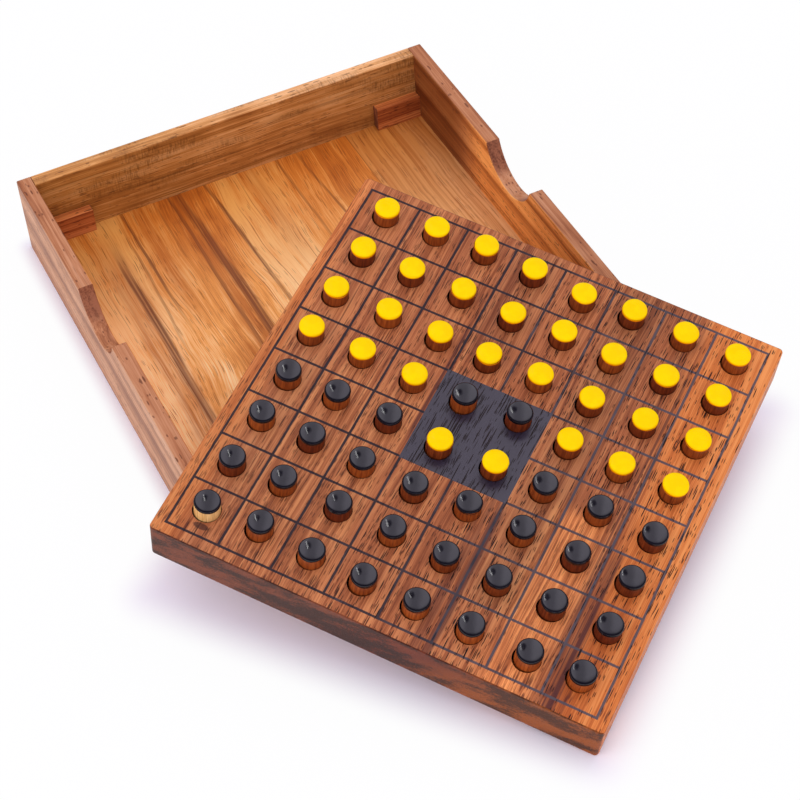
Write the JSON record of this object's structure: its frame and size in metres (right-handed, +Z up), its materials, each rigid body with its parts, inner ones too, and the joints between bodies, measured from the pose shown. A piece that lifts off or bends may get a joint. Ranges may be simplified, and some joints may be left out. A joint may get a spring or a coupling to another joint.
{
  "type": "reversi game set",
  "caption": "Reversi game set: a drilled wooden board with two-coloured reversible pegs, leaning out of its square storage tray with finger notches.",
  "frame": {"origin": "centre of the tray's underside, on the table top", "axes": "+Z up, +Y from the front wall to the back wall, +X from the left notched wall to the right notched wall; the board leans on the front wall, towards -Y"},
  "size_m": [0.2304, 0.3318, 0.0738],
  "materials": {
    "tray_wood": "satin",
    "floor_wood": "satin",
    "cleat_wood": "satin",
    "board_wood": "satin",
    "peg_yellow_up": "gloss",
    "peg_black_up": "gloss"
  },
  "bodies": {
    "tray": {"floor_panel": "floor_wood", "left_wall": "tray_wood", "right_wall": "tray_wood", "back_wall": "tray_wood", "front_wall": "tray_wood", "cleat_back_left": "cleat_wood", "cleat_back_right": "cleat_wood", "cleat_front_left": "cleat_wood", "cleat_front_right": "cleat_wood"},
    "board": {"playing_board": "board_wood"},
    "pegs_row_1": {"pegs_row_1": "peg_black_up"},
    "peg_a2": {"peg_a2": "peg_black_up"},
    "peg_b2": {"peg_b2": "peg_black_up"},
    "peg_c2": {"peg_c2": "peg_black_up"},
    "peg_d2": {"peg_d2": "peg_black_up"},
    "peg_e2": {"peg_e2": "peg_black_up"},
    "peg_f2": {"peg_f2": "peg_black_up"},
    "peg_g2": {"peg_g2": "peg_black_up"},
    "peg_h2": {"peg_h2": "peg_black_up"},
    "peg_a3": {"peg_a3": "peg_black_up"},
    "peg_b3": {"peg_b3": "peg_black_up"},
    "peg_c3": {"peg_c3": "peg_black_up"},
    "peg_d3": {"peg_d3": "peg_black_up"},
    "peg_e3": {"peg_e3": "peg_black_up"},
    "peg_f3": {"peg_f3": "peg_black_up"},
    "peg_g3": {"peg_g3": "peg_black_up"},
    "peg_h3": {"peg_h3": "peg_black_up"},
    "peg_a4": {"peg_a4": "peg_black_up"},
    "peg_b4": {"peg_b4": "peg_black_up"},
    "peg_c4": {"peg_c4": "peg_black_up"},
    "peg_d4": {"peg_d4": "peg_yellow_up"},
    "peg_e4": {"peg_e4": "peg_yellow_up"},
    "peg_f4": {"peg_f4": "peg_black_up"},
    "peg_g4": {"peg_g4": "peg_black_up"},
    "peg_h4": {"peg_h4": "peg_black_up"},
    "peg_a5": {"peg_a5": "peg_yellow_up"},
    "peg_b5": {"peg_b5": "peg_yellow_up"},
    "peg_c5": {"peg_c5": "peg_yellow_up"},
    "peg_d5": {"peg_d5": "peg_black_up"},
    "peg_e5": {"peg_e5": "peg_black_up"},
    "peg_f5": {"peg_f5": "peg_yellow_up"},
    "peg_g5": {"peg_g5": "peg_yellow_up"},
    "peg_h5": {"peg_h5": "peg_yellow_up"},
    "peg_a6": {"peg_a6": "peg_yellow_up"},
    "peg_b6": {"peg_b6": "peg_yellow_up"},
    "peg_c6": {"peg_c6": "peg_yellow_up"},
    "peg_d6": {"peg_d6": "peg_yellow_up"},
    "peg_e6": {"peg_e6": "peg_yellow_up"},
    "peg_f6": {"peg_f6": "peg_yellow_up"},
    "peg_g6": {"peg_g6": "peg_yellow_up"},
    "peg_h6": {"peg_h6": "peg_yellow_up"},
    "peg_a7": {"peg_a7": "peg_yellow_up"},
    "peg_b7": {"peg_b7": "peg_yellow_up"},
    "peg_c7": {"peg_c7": "peg_yellow_up"},
    "peg_d7": {"peg_d7": "peg_yellow_up"},
    "peg_e7": {"peg_e7": "peg_yellow_up"},
    "peg_f7": {"peg_f7": "peg_yellow_up"},
    "peg_g7": {"peg_g7": "peg_yellow_up"},
    "peg_h7": {"peg_h7": "peg_yellow_up"},
    "pegs_row_8": {"pegs_row_8": "peg_yellow_up"}
  },
  "joints": [
    {"name": "board_lift", "type": "slide", "parent": "tray", "child": "board", "axis": [0, 0, 1], "range_m": [0, 0.06]},
    {"name": "pegs_row_1_pull", "type": "slide", "parent": "board", "child": "pegs_row_1", "axis": [0, -0.2319, 0.9727], "range_m": [0, 0.015]},
    {"name": "peg_a2_pull", "type": "slide", "parent": "board", "child": "peg_a2", "axis": [0, -0.2319, 0.9727], "range_m": [0, 0.015]},
    {"name": "peg_b2_pull", "type": "slide", "parent": "board", "child": "peg_b2", "axis": [0, -0.2319, 0.9727], "range_m": [0, 0.015]},
    {"name": "peg_c2_pull", "type": "slide", "parent": "board", "child": "peg_c2", "axis": [0, -0.2319, 0.9727], "range_m": [0, 0.015]},
    {"name": "peg_d2_pull", "type": "slide", "parent": "board", "child": "peg_d2", "axis": [0, -0.2319, 0.9727], "range_m": [0, 0.015]},
    {"name": "peg_e2_pull", "type": "slide", "parent": "board", "child": "peg_e2", "axis": [0, -0.2319, 0.9727], "range_m": [0, 0.015]},
    {"name": "peg_f2_pull", "type": "slide", "parent": "board", "child": "peg_f2", "axis": [0, -0.2319, 0.9727], "range_m": [0, 0.015]},
    {"name": "peg_g2_pull", "type": "slide", "parent": "board", "child": "peg_g2", "axis": [0, -0.2319, 0.9727], "range_m": [0, 0.015]},
    {"name": "peg_h2_pull", "type": "slide", "parent": "board", "child": "peg_h2", "axis": [0, -0.2319, 0.9727], "range_m": [0, 0.015]},
    {"name": "peg_a3_pull", "type": "slide", "parent": "board", "child": "peg_a3", "axis": [0, -0.2319, 0.9727], "range_m": [0, 0.015]},
    {"name": "peg_b3_pull", "type": "slide", "parent": "board", "child": "peg_b3", "axis": [0, -0.2319, 0.9727], "range_m": [0, 0.015]},
    {"name": "peg_c3_pull", "type": "slide", "parent": "board", "child": "peg_c3", "axis": [0, -0.2319, 0.9727], "range_m": [0, 0.015]},
    {"name": "peg_d3_pull", "type": "slide", "parent": "board", "child": "peg_d3", "axis": [0, -0.2319, 0.9727], "range_m": [0, 0.015]},
    {"name": "peg_e3_pull", "type": "slide", "parent": "board", "child": "peg_e3", "axis": [0, -0.2319, 0.9727], "range_m": [0, 0.015]},
    {"name": "peg_f3_pull", "type": "slide", "parent": "board", "child": "peg_f3", "axis": [0, -0.2319, 0.9727], "range_m": [0, 0.015]},
    {"name": "peg_g3_pull", "type": "slide", "parent": "board", "child": "peg_g3", "axis": [0, -0.2319, 0.9727], "range_m": [0, 0.015]},
    {"name": "peg_h3_pull", "type": "slide", "parent": "board", "child": "peg_h3", "axis": [0, -0.2319, 0.9727], "range_m": [0, 0.015]},
    {"name": "peg_a4_pull", "type": "slide", "parent": "board", "child": "peg_a4", "axis": [0, -0.2319, 0.9727], "range_m": [0, 0.015]},
    {"name": "peg_b4_pull", "type": "slide", "parent": "board", "child": "peg_b4", "axis": [0, -0.2319, 0.9727], "range_m": [0, 0.015]},
    {"name": "peg_c4_pull", "type": "slide", "parent": "board", "child": "peg_c4", "axis": [0, -0.2319, 0.9727], "range_m": [0, 0.015]},
    {"name": "peg_d4_pull", "type": "slide", "parent": "board", "child": "peg_d4", "axis": [0, -0.2319, 0.9727], "range_m": [0, 0.015]},
    {"name": "peg_e4_pull", "type": "slide", "parent": "board", "child": "peg_e4", "axis": [0, -0.2319, 0.9727], "range_m": [0, 0.015]},
    {"name": "peg_f4_pull", "type": "slide", "parent": "board", "child": "peg_f4", "axis": [0, -0.2319, 0.9727], "range_m": [0, 0.015]},
    {"name": "peg_g4_pull", "type": "slide", "parent": "board", "child": "peg_g4", "axis": [0, -0.2319, 0.9727], "range_m": [0, 0.015]},
    {"name": "peg_h4_pull", "type": "slide", "parent": "board", "child": "peg_h4", "axis": [0, -0.2319, 0.9727], "range_m": [0, 0.015]},
    {"name": "peg_a5_pull", "type": "slide", "parent": "board", "child": "peg_a5", "axis": [0, -0.2319, 0.9727], "range_m": [0, 0.015]},
    {"name": "peg_b5_pull", "type": "slide", "parent": "board", "child": "peg_b5", "axis": [0, -0.2319, 0.9727], "range_m": [0, 0.015]},
    {"name": "peg_c5_pull", "type": "slide", "parent": "board", "child": "peg_c5", "axis": [0, -0.2319, 0.9727], "range_m": [0, 0.015]},
    {"name": "peg_d5_pull", "type": "slide", "parent": "board", "child": "peg_d5", "axis": [0, -0.2319, 0.9727], "range_m": [0, 0.015]},
    {"name": "peg_e5_pull", "type": "slide", "parent": "board", "child": "peg_e5", "axis": [0, -0.2319, 0.9727], "range_m": [0, 0.015]},
    {"name": "peg_f5_pull", "type": "slide", "parent": "board", "child": "peg_f5", "axis": [0, -0.2319, 0.9727], "range_m": [0, 0.015]},
    {"name": "peg_g5_pull", "type": "slide", "parent": "board", "child": "peg_g5", "axis": [0, -0.2319, 0.9727], "range_m": [0, 0.015]},
    {"name": "peg_h5_pull", "type": "slide", "parent": "board", "child": "peg_h5", "axis": [0, -0.2319, 0.9727], "range_m": [0, 0.015]},
    {"name": "peg_a6_pull", "type": "slide", "parent": "board", "child": "peg_a6", "axis": [0, -0.2319, 0.9727], "range_m": [0, 0.015]},
    {"name": "peg_b6_pull", "type": "slide", "parent": "board", "child": "peg_b6", "axis": [0, -0.2319, 0.9727], "range_m": [0, 0.015]},
    {"name": "peg_c6_pull", "type": "slide", "parent": "board", "child": "peg_c6", "axis": [0, -0.2319, 0.9727], "range_m": [0, 0.015]},
    {"name": "peg_d6_pull", "type": "slide", "parent": "board", "child": "peg_d6", "axis": [0, -0.2319, 0.9727], "range_m": [0, 0.015]},
    {"name": "peg_e6_pull", "type": "slide", "parent": "board", "child": "peg_e6", "axis": [0, -0.2319, 0.9727], "range_m": [0, 0.015]},
    {"name": "peg_f6_pull", "type": "slide", "parent": "board", "child": "peg_f6", "axis": [0, -0.2319, 0.9727], "range_m": [0, 0.015]},
    {"name": "peg_g6_pull", "type": "slide", "parent": "board", "child": "peg_g6", "axis": [0, -0.2319, 0.9727], "range_m": [0, 0.015]},
    {"name": "peg_h6_pull", "type": "slide", "parent": "board", "child": "peg_h6", "axis": [0, -0.2319, 0.9727], "range_m": [0, 0.015]},
    {"name": "peg_a7_pull", "type": "slide", "parent": "board", "child": "peg_a7", "axis": [0, -0.2319, 0.9727], "range_m": [0, 0.015]},
    {"name": "peg_b7_pull", "type": "slide", "parent": "board", "child": "peg_b7", "axis": [0, -0.2319, 0.9727], "range_m": [0, 0.015]},
    {"name": "peg_c7_pull", "type": "slide", "parent": "board", "child": "peg_c7", "axis": [0, -0.2319, 0.9727], "range_m": [0, 0.015]},
    {"name": "peg_d7_pull", "type": "slide", "parent": "board", "child": "peg_d7", "axis": [0, -0.2319, 0.9727], "range_m": [0, 0.015]},
    {"name": "peg_e7_pull", "type": "slide", "parent": "board", "child": "peg_e7", "axis": [0, -0.2319, 0.9727], "range_m": [0, 0.015]},
    {"name": "peg_f7_pull", "type": "slide", "parent": "board", "child": "peg_f7", "axis": [0, -0.2319, 0.9727], "range_m": [0, 0.015]},
    {"name": "peg_g7_pull", "type": "slide", "parent": "board", "child": "peg_g7", "axis": [0, -0.2319, 0.9727], "range_m": [0, 0.015]},
    {"name": "peg_h7_pull", "type": "slide", "parent": "board", "child": "peg_h7", "axis": [0, -0.2319, 0.9727], "range_m": [0, 0.015]},
    {"name": "pegs_row_8_pull", "type": "slide", "parent": "board", "child": "pegs_row_8", "axis": [0, -0.2319, 0.9727], "range_m": [0, 0.015]}
  ]
}
